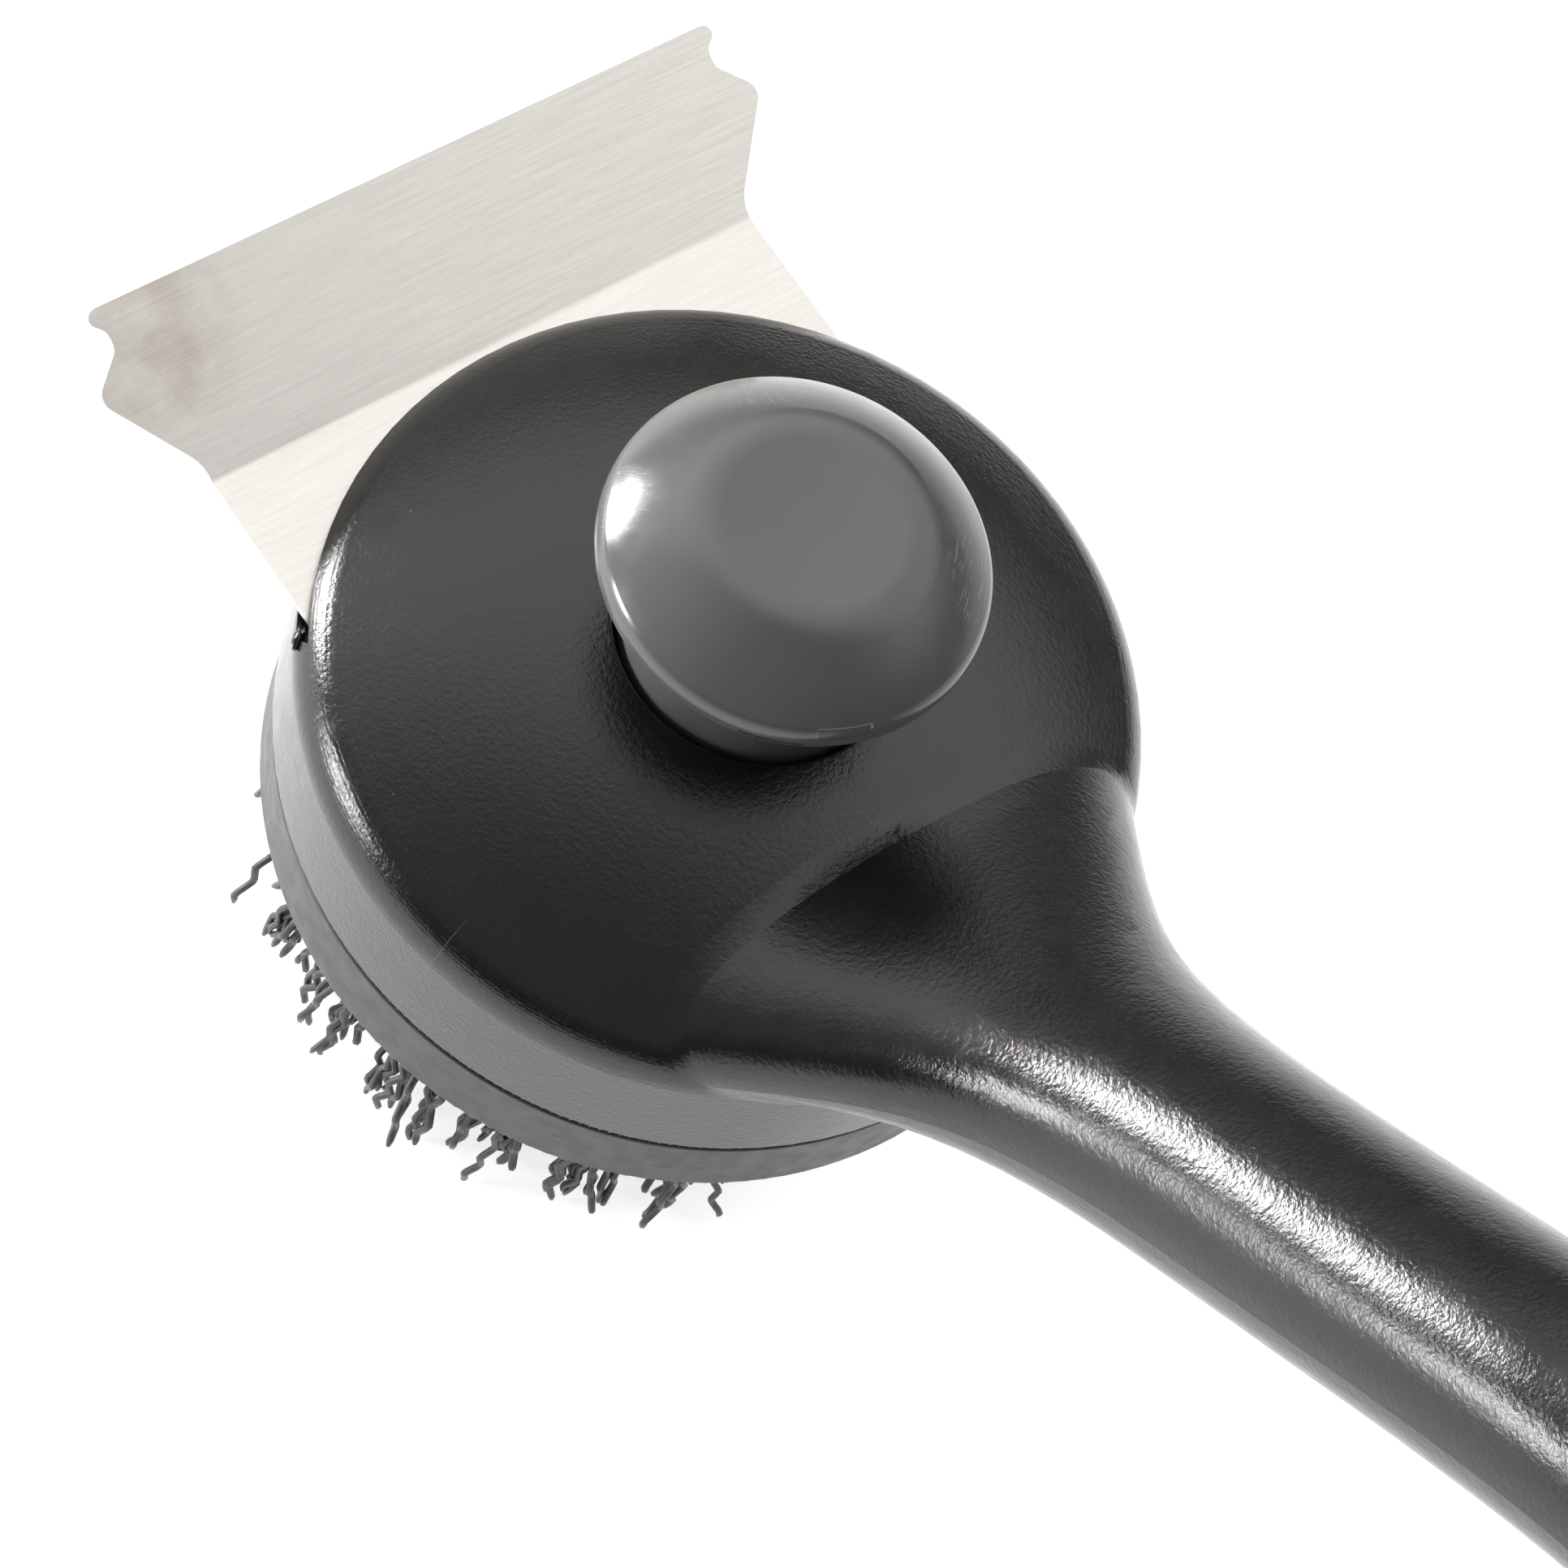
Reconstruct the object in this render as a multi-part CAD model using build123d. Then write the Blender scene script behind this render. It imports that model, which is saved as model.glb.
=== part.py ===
from build123d import *
from math import asin, atan2, cos, degrees, radians, sin, sqrt, tan
import os

# Grill cleaning brush: a round head with a fixed scraper and a turning disc of crimped nylon tufts,
# an arched handle in one piece with the head's housing, and a palm knob that turns with the disc.
# Frame: +Z up, +X towards the handle, origin on the spindle axis in the plane of the bristle tips.
# All dimensions are in millimetres.

# ---- driving dimensions: housing --------------------------------------------------------------
WALL_R = 55.0           # outside radius of the round wall
SKIN = 3.0              # wall thickness of the housing and the handle
SEAM_Z = 37.0           # middle of the running gap between the fixed wall and the turning disc
SEAM_GAP = 1.3
WALL_EDGE_R = 0.3       # rounding of the wall's bottom edge, at the seam
RIM_R = 8.0             # roll of the rim, from the wall to the dome
RIM_Z = 54.3            # height at which the wall starts to roll over
RIM_SWEEP = 60.0        # degrees of roll before the dome takes over
HOLE_R = 18.4           # hole in the dome for the knob's collar
HOLE_EDGE_R = 0.5

# ---- driving dimensions: neck and handle ------------------------------------------------------
RISE_ANGLE = 36.0       # slope of the neck and the lower handle, degrees
GRIP_ANGLE = 6.0        # slope of the grip
ANCHOR_X, ANCHOR_Z = 74.2, 79.6    # a point that the handle's centreline passes through
BEND_X = 130.0          # where the slope starts to ease
BEND_R = 140.0
HANDLE_END_X = 322.0
HALF_THICK = 13.1       # half of the handle's thickness, square to its centreline
CREASE_R = 7.0          # hollow rounding where the neck rises out of the dome

# ---- driving dimensions: scraper --------------------------------------------------------------
BLADE_T = 0.8
BLADE_TOP_Z = 57.5      # top face of the flat part, at the slot
BLADE_HALF_W = 42.35
FOLD_X = -55.0
FOLD_ANGLE = 26.4       # the front part bends up by this
FOLD_R = 1.5
BLADE_REACH = 25.8      # from the fold to the scraping edge
SLOT_HALF_W = 44.6
SLOT_H = 3.0
SLOT_DEPTH = 40.0       # length of the cut, from outside the wall to the clamp bar

# ---- driving dimensions: spindle and knob -----------------------------------------------------
SPINDLE_R = 5.0
BUSH_BORE_R = 5.05
BUSH_R = 7.5
TOWER_R = 11.0
TOWER_TOP_Z = 70.0
COLLAR_R = 17.4
COLLAR_BOTTOM_Z = 67.0
KNOB_WALL = 2.5
KNOB_R = 24.5
KNOB_LIP_Z = 91.2       # seam between the cap and the collar's flange
KNOB_TOP_Z = 101.5
KNOB_CORNER_R = 3.4     # rounding of the knob's widest edge
KNOB_CORNER_SWEEP = 42.0
DISH_R = 13.5           # the shallow dish on top of the knob
DISH_DEPTH = 0.55
DISH_EDGE_R = 8.0       # soft edge between the dish and the crown round it

# ---- driving dimensions: brush disc -----------------------------------------------------------
DISC_R = 54.7
DISC_BOTTOM_Z = 23.8
DISC_FACE_Z = 26.8      # face that the tufts stand on
DISC_FLOOR_Z = 33.8     # floor of the pocket on the disc's upper side
TUFT_HOLE_R = 3.05
TUFT_HOLE_TOP_Z = 32.8
TUFT_RINGS = [(0.0, 1), (11.5, 6), (23.0, 12), (34.5, 18), (46.0, 24)]   # radius, count
TUFT_LEAN = 4.5         # how far the outer ring's tufts lean outwards at their tips
NOTCHES = 36            # detent positions in one turn
SERRATIONS = 264
DISC_LIP_R = 1.2        # rounding of the disc's bottom edge
DISC_EDGE_R = 0.5       # and of its top edge, at the seam

# ---- values that follow from them -------------------------------------------------------------
RIM_CENTRE_R = WALL_R - RIM_R
DOME_R = (RIM_CENTRE_R + RIM_R * cos(radians(RIM_SWEEP))) / cos(radians(RIM_SWEEP))
DOME_CENTRE_Z = RIM_Z + (RIM_R - DOME_R) * sin(radians(RIM_SWEEP))
WALL_BOTTOM_Z = SEAM_Z + SEAM_GAP / 2
DISC_TOP_Z = SEAM_Z - SEAM_GAP / 2
PLATE_Z = WALL_BOTTOM_Z + 0.2      # underside of the head's base plate
PLATE_T = 4.0
BLADE_Z = BLADE_TOP_Z - BLADE_T / 2
RISE = tan(radians(RISE_ANGLE))
BEND_Z = ANCHOR_Z + RISE * (BEND_X - ANCHOR_X)
BEND_CENTRE_X = BEND_X + BEND_R * sin(radians(RISE_ANGLE))
BEND_CENTRE_Z = BEND_Z - BEND_R * cos(radians(RISE_ANGLE))
GRIP_X = BEND_CENTRE_X - BEND_R * sin(radians(GRIP_ANGLE))
GRIP_Z = BEND_CENTRE_Z + BEND_R * cos(radians(GRIP_ANGLE))

# Neck and handle sections: x, half width, height above and depth below the centreline.
NECK = [
    (24.0, 47.0, 27.2, 5.6),
    (34.0, 41.6, 21.4, 8.0),
    (42.0, 34.7, 19.2, 10.0),
    (50.0, 28.1, 17.5, 12.5),
    (58.0, 22.4, 16.4, 14.5),
    (66.0, 18.6, 16.1, 15.8),
]
HANDLE = [(76.0, 16.2), (90.0, 15.2), (106.0, 15.1), (130.0, 15.1), (160.0, 15.4), (190.0, 15.8),
          (215.0, 16.2), (240.0, 16.4), (265.0, 16.1), (285.0, 15.6), (304.0, 15.2),
          (HANDLE_END_X, 15.0)]

INSERT_SCREWS_X = [100.0, 195.0, 285.0]
INSERT_FROM_X, INSERT_TO_X = 70.0, 300.0
INSERT_HALF_W = 9.0
INSERT_TOP = 4.0        # the insert's channel starts this far under the centreline
BOSS_R = 4.0            # screw bosses inside the head
BOSS_BORE_R = 1.6
BOSS_GAP = 0.1
PLATE_SCREWS = [(34.0, a) for a in (50.0, 115.0, 245.0, 310.0)]    # radius, azimuth
BLADE_SCREWS = [(-33.0, -20.0), (-33.0, 20.0)]
BLADE_END_X = -26.0     # the scraper's inner end
CLAMP_BAR = (10.0, 56.0, 3.0)
SHEET_HOLE_R = 1.8      # clearance holes in the scraper, its clamp bar and the base plate
FLANGE_SCREWS = [(9.0, a) for a in (30.0, 150.0, 270.0)]


def polar(radius, azimuth):
    return radius * cos(radians(azimuth)), radius * sin(radians(azimuth))


def turned(points):
    """Solid of revolution about Z from (radius, height) points in order."""
    return revolve(Plane.XZ * make_face(Polyline(*points, close=True)), Axis.Z)


def tube(outer, inner, low, high):
    return turned([(inner, low), (outer, low), (outer, high), (inner, high)])


def rod(radius, low, high, at=(0.0, 0.0)):
    height = high - low
    return Pos(at[0], at[1], low + height / 2) * Cylinder(radius, height)


def joined(solids):
    """Several separate solids as one node."""
    return Compound(children=[s for group in solids for s in group.solids()])


# ---- neck and handle --------------------------------------------------------------------------
def centre_z(x):
    """Height of the handle's centreline: a rise, an easing arc, then the grip."""
    if x < BEND_X:
        return ANCHOR_Z + RISE * (x - ANCHOR_X)
    if x < GRIP_X:
        return BEND_CENTRE_Z + sqrt(BEND_R ** 2 - (x - BEND_CENTRE_X) ** 2)
    return GRIP_Z + tan(radians(GRIP_ANGLE)) * (x - GRIP_X)


def slope(x):
    if x < BEND_X:
        return RISE_ANGLE
    if x < GRIP_X:
        return degrees(atan2(BEND_CENTRE_X - x, centre_z(x) - BEND_CENTRE_Z))
    return GRIP_ANGLE


def section(x, half_width, above, below, lean, inset):
    """Oval section of two half ellipses; lean tips its plane from upright, degrees."""
    width = half_width - inset
    upper = EllipticalCenterArc((0, 0), width, above - inset, 0, arc_size=180)
    lower = EllipticalCenterArc((0, 0), width, below - inset, 180, arc_size=180)
    normal = (cos(radians(lean)), 0, sin(radians(lean)))
    plane = Plane(origin=(x, 0, centre_z(x)), x_dir=(0, 1, 0), z_dir=normal)
    return plane * make_face(upper + lower)


def arm(inset):
    """The neck and the handle as one smooth solid, shrunk by inset."""
    sections = [section(x, w, up, down, 0, inset) for x, w, up, down in NECK]
    for x, width in HANDLE:
        upright = x < GRIP_X
        half = HALF_THICK / cos(radians(slope(x))) if upright else HALF_THICK
        lean = 0 if upright else GRIP_ANGLE
        side = inset / cos(radians(slope(x))) if upright else inset
        sections.append(section(x, width, half - side + inset, half - side + inset, lean, inset))
    return loft(sections)


def handle_frame(x, offset=0.0):
    """Plane on the centreline whose Z is square to the handle, in its plane of symmetry."""
    a = radians(slope(x))
    origin = (x + offset * cos(a), 0, centre_z(x) + offset * sin(a))
    return Plane(origin=origin, x_dir=(cos(a), 0, sin(a)), z_dir=(-sin(a), 0, cos(a)))


def cup(inset, bottom):
    """The round head under its dome, shrunk by inset, down to the given height."""
    roll, dome, wall = RIM_R - inset, DOME_R - inset, WALL_R - inset
    rim = CenterArc((RIM_CENTRE_R, RIM_Z), roll, 0, RIM_SWEEP)
    crown = CenterArc((0, DOME_CENTRE_Z), dome, RIM_SWEEP, 90 - RIM_SWEEP)
    rest = Polyline((0, DOME_CENTRE_Z + dome), (0, bottom), (wall, bottom), (wall, RIM_Z))
    return revolve(Plane.XZ * make_face(rest + rim + crown), Axis.Z)


def channel(gap):
    """Space under the handle's centreline that the underside insert fills."""
    xs = [INSERT_FROM_X + gap] + [x for x, w in HANDLE if INSERT_FROM_X + 5 < x < INSERT_TO_X - 5]
    xs.append(INSERT_TO_X - gap)
    upper = [(x, centre_z(x) - INSERT_TOP - gap) for x in xs]
    lower = [(x, centre_z(x) - 30) for x in reversed(xs)]
    side = Plane.XZ * make_face(Polyline(*upper, *lower, close=True))
    return extrude(side, INSERT_HALF_W - gap, both=True)


def outside():
    """The head and the arm as one solid, with the crease between them and the wall's edge rounded."""
    body = cup(0, WALL_BOTTOM_Z) + arm(0)
    crease = [e for e in body.edges().filter_by(GeomType.BSPLINE)
              if e.center().X < WALL_R and e.center().Z > RIM_Z - RIM_R]
    body = fillet(crease, CREASE_R)
    bottom = body.edges().filter_by(GeomType.CIRCLE).group_by(Axis.Z)[0]
    return fillet(bottom, WALL_EDGE_R)


def handle_shell(outer, inner):
    body = outer - inner
    body -= rod(HOLE_R, 60, 90)
    body = fillet([e for e in body.edges().filter_by(GeomType.CIRCLE)
                   if abs(e.radius - HOLE_R) < 0.01 and e.center().Z > TOWER_TOP_Z + 2], HOLE_EDGE_R)
    body -= channel(0)
    slot = Box(SLOT_DEPTH, 2 * SLOT_HALF_W, SLOT_H)
    body -= Pos(FOLD_X + 15, 0, BLADE_Z + 0.1) * slot
    for radius, azimuth in PLATE_SCREWS:
        body += rod(BOSS_R, PLATE_Z + PLATE_T + BOSS_GAP, 80, polar(radius, azimuth)) & outer
    for at in BLADE_SCREWS:
        body += rod(BOSS_R, BLADE_TOP_Z + BOSS_GAP, 80, at) & outer
    for x in INSERT_SCREWS_X:
        body += handle_frame(x) * rod(4.2, -6.4, HALF_THICK - SKIN / 2)
    for radius, azimuth in PLATE_SCREWS:
        body -= rod(BOSS_BORE_R, PLATE_Z, 56, polar(radius, azimuth))
    for at in BLADE_SCREWS:
        body -= rod(BOSS_BORE_R, BLADE_TOP_Z, 63.4, at)
    for x in INSERT_SCREWS_X:
        body -= handle_frame(x) * rod(1.5, -7, 3)
    hole = handle_frame(HANDLE_END_X, CAP_SCREW_S)
    body -= hole * rod(1.7, -20, 0)
    body -= hole * rod(3.3, -20, -HALF_THICK + 1.4)
    return body


def handle_insert(outer, inner):
    """Cover strip that closes the underside of the hollow handle."""
    body = (outer & channel(0.2)) - inner
    for x in INSERT_SCREWS_X:
        body += handle_frame(x) * rod(5.2, -HALF_THICK + SKIN / 2, -6.5)
    for x in INSERT_SCREWS_X:
        body -= handle_frame(x) * rod(1.75, -20, 0)
        body -= handle_frame(x) * rod(3.4, -20, -10)
    return body


def screw(head_r, head_h, shank_r, length):
    """Pan-head screw pointing up: head from -head_h to 0, shank from 0 to length, cross recess."""
    body = rod(head_r, -head_h, 0) + rod(shank_r, -0.01, length)
    body = chamfer(body.edges().group_by(Axis.Z)[0], 0.4)
    for turn in (0, 90):
        body -= Rot(0, 0, turn) * Pos(0, 0, -head_h) * Box(head_r * 1.1, 0.7, 1.4)
    return body


# ---- hanging cap at the handle's end ----------------------------------------------------------
CAP_LENGTH = 29.0
CAP_HOLE_S = 14.0       # hole's distance past the end of the handle
CAP_HOLE_R = 5.0
CAP_HOLE_L = 15.0
CAP_SCREW_S = -7.0
CAP_GAP = 0.15
SPIGOT_L = 13.0


def hanging_cap():
    half_width = HANDLE[-1][1]
    dome = scale(Sphere(1), (CAP_LENGTH, half_width, HALF_THICK))
    body = dome & Pos(50, 0, 0) * Box(100, 100, 100)
    plug = Ellipse(half_width - SKIN - 0.3, HALF_THICK - SKIN - 0.3)
    plug -= Ellipse(half_width - SKIN - 2.6, HALF_THICK - SKIN - 2.6)
    side = Plane(origin=(0, 0, 0), x_dir=(0, 1, 0), z_dir=(-1, 0, 0))
    body += extrude(side * plug, SPIGOT_L)
    body += Pos(CAP_SCREW_S - CAP_GAP, 0, 0) * rod(3.6, -HALF_THICK + SKIN + 1.0, -2)
    body -= Pos(CAP_HOLE_S, 0, 0) * rod(CAP_HOLE_R, -30, 30)
    for side_z in (-1, 1):
        face = side_z * (CAP_HOLE_L / 2 + 10)
        body -= Pos(CAP_HOLE_S, 0, face) * fillet(Cylinder(8.4, 20).edges(), 0.8)
    body -= Pos(CAP_SCREW_S - CAP_GAP, 0, 0) * rod(1.5, -20, -3)
    return handle_frame(HANDLE_END_X, CAP_GAP) * body


def hanging_cap_screw():
    frame = handle_frame(HANDLE_END_X, CAP_SCREW_S)
    return frame * Pos(0, 0, -HALF_THICK + 1.35) * screw(3.0, 1.9, 1.4, 7.0)


# ---- scraper ----------------------------------------------------------------------------------
def scraper_blade():
    """Sheet bent up along a fold, with a notch in each side between two rounded corners."""
    lean = radians(FOLD_ANGLE)
    along, normal = (-cos(lean), sin(lean)), (sin(lean), cos(lean))
    half = BLADE_T / 2
    shift = half * tan(lean / 2)
    front = (FOLD_X + BLADE_REACH * along[0], BLADE_Z + BLADE_REACH * along[1])
    points = [
        (BLADE_END_X, BLADE_Z - half),
        (BLADE_END_X, BLADE_Z + half),
        (FOLD_X + shift, BLADE_Z + half),
        (front[0] + half * normal[0], front[1] + half * normal[1]),
        (front[0] - half * normal[0], front[1] - half * normal[1]),
        (FOLD_X - shift, BLADE_Z - half),
    ]
    profile = make_face(Polyline(*points, close=True))
    folds = profile.vertices().filter_by(lambda v: abs(v.X - FOLD_X) < 1).sort_by(Axis.Y)
    profile = fillet(folds[1], FOLD_R)
    folds = profile.vertices().filter_by(lambda v: abs(v.X - FOLD_X) < 0.5 and v.Y < BLADE_Z)
    profile = fillet(folds, FOLD_R + BLADE_T)
    profile = Plane.XZ * profile

    # Half outline of the bent part: distance from the fold, half width, corner radius.
    half_outline = [
        (2.6, BLADE_HALF_W, 6.0), (15.2, 51.6, 2.2), (20.1, 46.6, 2.4), (22.6, 46.6, 2.0),
        (25.3, 49.8, 1.2), (BLADE_REACH, 46.6, 3.0),
    ]
    start, end = (-6.0, BLADE_HALF_W), (BLADE_REACH, 0)
    side = [start] + [(s, y) for s, y, r in half_outline]
    path = FilletPolyline(*side, end, radius=[r for s, y, r in half_outline])
    base = Polyline(end, (-6.0, 0), start)
    outline = make_face(path + base)
    outline += mirror(outline, Plane.XZ)
    plate_plane = Plane(
        origin=(FOLD_X, 0, BLADE_Z),
        x_dir=(along[0], 0, along[1]),
        z_dir=(-normal[0], 0, -normal[1]),
    )
    bent = extrude(profile, 60, both=True) & extrude(plate_plane * outline, 4, both=True)
    bent &= Pos(FOLD_X - 47, 0, BLADE_Z) * Box(100, 200, 60)
    flat = extrude(profile, BLADE_HALF_W, both=True) & (Pos(FOLD_X + 53, 0, 50) * Box(100, 200, 60))
    blade = bent + flat
    for at in BLADE_SCREWS:
        blade -= rod(SHEET_HOLE_R, 50, 60, at)
    return blade


def scraper_clamp_bar():
    top = BLADE_Z - BLADE_T / 2 - 0.05
    bar = Pos(BLADE_SCREWS[0][0], 0, top - CLAMP_BAR[2] / 2) * Box(*CLAMP_BAR)
    bar = fillet(bar.edges().filter_by(Axis.Z), 3)
    for at in BLADE_SCREWS:
        bar -= rod(SHEET_HOLE_R, 50, 60, at)
    return bar


def scraper_screws():
    seat = BLADE_Z - BLADE_T / 2 - 3.1
    return joined(Pos(x, y, seat) * screw(3.0, 2.0, 1.5, 9.0) for x, y in BLADE_SCREWS)


# ---- fixed parts inside the head --------------------------------------------------------------
POST_R = 39.5           # radius of the circle that the detent spring's posts stand on
POST_AZIMUTHS = (112.0, 68.0)
POST_DROP = 1.7         # how far the posts reach under the base plate


def detent_post(azimuth):
    return polar(POST_R, azimuth)


def head_base_plate():
    """Plate that closes the head, with the tower that carries the spindle's bushes."""
    top = PLATE_Z + PLATE_T
    body = turned([
        (BUSH_R + 2.2, PLATE_Z), (WALL_R - SKIN - 0.4, PLATE_Z), (WALL_R - SKIN - 0.4, top),
        (TOWER_R, top), (TOWER_R, TOWER_TOP_Z), (BUSH_R, TOWER_TOP_Z), (BUSH_R, 59.9),
        (6.0, 59.9), (6.0, 49.1), (BUSH_R, 49.1), (BUSH_R, PLATE_Z + 1.6),
        (BUSH_R + 2.2, PLATE_Z + 1.6),
    ])
    rib = Plane.XZ * make_face(Polyline((TOWER_R - 1, top - 1), (30, top - 1), (30, top + 1),
                                        (TOWER_R - 1, top + 16), close=True))
    for index in range(6):
        body += Rot(0, 0, 30 + 60 * index) * extrude(rib, 1.0, both=True)
    for radius, azimuth in PLATE_SCREWS:
        at = polar(radius, azimuth)
        body -= rod(SHEET_HOLE_R, PLATE_Z - 1, top + 1, at)
        body -= rod(3.6, PLATE_Z - 1, PLATE_Z + 2.3, at)
    for azimuth in POST_AZIMUTHS:
        body += rod(1.2, PLATE_Z - POST_DROP, PLATE_Z + 1, detent_post(azimuth))
    return body


def base_plate_screws():
    seat = PLATE_Z + 2.3
    screws = []
    for radius, azimuth in PLATE_SCREWS:
        x, y = polar(radius, azimuth)
        screws.append(Pos(x, y, seat - 0.05) * screw(3.2, 2.1, 1.5, 14.0))
    return joined(screws)


def lower_bush():
    flange = PLATE_Z + 1.5
    return turned([(BUSH_BORE_R, PLATE_Z), (BUSH_R + 2, PLATE_Z), (BUSH_R + 2, flange),
                   (BUSH_R - 0.03, flange), (BUSH_R - 0.03, 49.0), (BUSH_BORE_R, 49.0)])


def upper_bush():
    flange = TOWER_TOP_Z + 0.05
    return turned([(BUSH_BORE_R, 60.0), (BUSH_R - 0.03, 60.0), (BUSH_R - 0.03, flange),
                   (BUSH_R + 2, flange), (BUSH_R + 2, flange + 1.5), (BUSH_BORE_R, flange + 1.5)])


def detent_spring():
    """Bowed leaf on two posts; its round nose rests in one of the ring's notches."""
    left, right = (detent_post(azimuth) for azimuth in POST_AZIMUTHS)
    leaf = trace(ThreePointArc(left, (0, 43.9), right), 0.6)
    leaf += Pos(0, NOTCH_CENTRE_R - 0.1) * Circle(1.3)
    for at in (left, right):
        leaf += Pos(*at) * Circle(2.2)
    for at in (left, right):
        leaf -= Pos(*at) * Circle(1.3)
    return Pos(0, 0, PLATE_Z - POST_DROP) * extrude(leaf, 1.2)


# ---- turning parts: spindle and knob ----------------------------------------------------------
FLANGE_R = 13.0
FLANGE_TOP_Z = 36.3
GROOVE_Z = 73.0
SQUARE = 7.0
SQUARE_Z = 78.0


def spindle():
    """Shaft with a lower flange, a ring groove, a square for the knob and a threaded end."""
    body = turned([
        (0, DISC_FLOOR_Z + 0.05), (FLANGE_R, DISC_FLOOR_Z + 0.05), (FLANGE_R, FLANGE_TOP_Z),
        (SPINDLE_R, FLANGE_TOP_Z), (SPINDLE_R, GROOVE_Z), (4.3, GROOVE_Z), (4.3, GROOVE_Z + 1.1),
        (SPINDLE_R, GROOVE_Z + 1.1), (SPINDLE_R, SQUARE_Z), (0, SQUARE_Z),
    ])
    body += Pos(0, 0, SQUARE_Z + 6) * Box(SQUARE, SQUARE, 12.2)
    body += rod(3.0, SQUARE_Z + 12, 97.0)
    body = chamfer(body.edges().group_by(Axis.Z)[-1], 0.5)
    for radius, azimuth in FLANGE_SCREWS:
        at = polar(radius, azimuth)
        body -= rod(1.2, 30, 40, at)
        body -= rod(2.4, FLANGE_TOP_Z - 1.6, 40, at)
    return body


def spindle_flange_screws():
    screws = []
    for radius, azimuth in FLANGE_SCREWS:
        x, y = polar(radius, azimuth)
        place = Pos(x, y, FLANGE_TOP_Z - 1.55) * Rot(180, 0, 0)
        screws.append(place * screw(2.2, 1.5, 1.0, 6.0))
    return joined(screws)


def thrust_washer():
    return tube(12.0, 5.3, FLANGE_TOP_Z + 0.05, PLATE_Z - 0.15)


def spring_washer():
    """Conical washer between the upper bush and the retaining ring."""
    low = TOWER_TOP_Z + 1.6
    return turned([(5.3, low + 0.75), (8.5, low + 0.05), (8.5, low + 0.5), (5.3, low + 1.2)])


def retaining_ring():
    ring = tube(7.6, 4.35, GROOVE_Z + 0.05, GROOVE_Z + 1.05)
    return ring - Pos(6, 0, GROOVE_Z) * Box(8, 5.0, 4)


def knob_outline(inset):
    """Open outline of the cap from the lip up to its dished top, as (radius, height)."""
    corner = KNOB_CORNER_R - inset
    top = KNOB_TOP_Z - inset
    wall = Line((KNOB_R - inset, KNOB_LIP_Z), (KNOB_R - inset, KNOB_LIP_Z + 0.4))
    edge = CenterArc((KNOB_R - KNOB_CORNER_R, KNOB_LIP_Z + 0.4), corner, 0, KNOB_CORNER_SWEEP)
    bulge = TangentArc(edge @ 1, (DISH_R, top), tangent=edge % 1)
    dish_r = (DISH_R ** 2 + DISH_DEPTH ** 2) / (2 * DISH_DEPTH)
    sweep = degrees(asin(DISH_R / dish_r))
    dish = CenterArc((0, top - DISH_DEPTH + dish_r), dish_r, 270, sweep)
    return wall + edge + bulge + dish


def knob_cap():
    wall = KNOB_WALL
    lip = Line((KNOB_R - wall, KNOB_LIP_Z), (KNOB_R, KNOB_LIP_Z))
    middle = KNOB_TOP_Z - DISH_DEPTH
    crown = Line((0, middle), (0, middle - wall))
    half = make_face(knob_outline(0) + knob_outline(wall) + lip + crown)
    ridges = half.vertices().filter_by(lambda v: abs(v.X - DISH_R) < 0.01)
    return revolve(Plane.XZ * fillet(ridges, DISH_EDGE_R), Axis.Z)


def knob_collar():
    """Collar in the dome's hole, with the flange that carries the cap and a square-bored hub."""
    top = KNOB_LIP_Z - 0.1
    body = turned([
        (0, SQUARE_Z + 0.2), (8, SQUARE_Z + 0.2), (8, top - 2.6), (COLLAR_R - 2.6, top - 2.6),
        (COLLAR_R - 2.6, COLLAR_BOTTOM_Z), (COLLAR_R, COLLAR_BOTTOM_Z), (COLLAR_R, top - 1.6),
        (KNOB_R - 0.9, top - 1.6),
        (KNOB_R - 0.15, top - 0.7), (KNOB_R - 0.15, top), (KNOB_R - 3.9, top),
        (KNOB_R - 3.9, top + 1.4), (KNOB_R - 5.6, top + 1.4), (KNOB_R - 5.6, top), (0, top),
    ])
    body -= Pos(0, 0, 85) * Box(SQUARE + 0.1, SQUARE + 0.1, 30)
    pry = Rot(0, 0, -42) * Pos(KNOB_R, 0, top) * Box(1.6, 8.0, 1.0)
    return body - pry


def knob_washer():
    return tube(6.6, 3.2, KNOB_LIP_Z, KNOB_LIP_Z + 1.0)


def knob_nut():
    low = KNOB_LIP_Z + 1.05
    nut = Pos(0, 0, low) * extrude(RegularPolygon(5.0, 6, major_radius=False), 4.0)
    return nut - rod(3.05, low - 1, low + 5)


# ---- turning parts: brush disc ----------------------------------------------------------------
RING_SEAT_Z = 35.55
RING_INNER_R = 45.0
RING_OUTER_R = 53.6     # the ring's body, sunk into the disc
TOOTH_R = 54.5          # tips of the teeth, on a thin flange over the disc's edge
TOOTH_DEPTH = 0.5
FLANGE_T = 0.45
NOTCH_CENTRE_R = 45.0
NOTCH_R = 1.6
TUFT_SET_R = TUFT_HOLE_R - 0.05
TUFT_TIP_R = 4.5


def tuft_places(radius, count):
    return [polar(radius, 360 / count * index) for index in range(count)]


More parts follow.
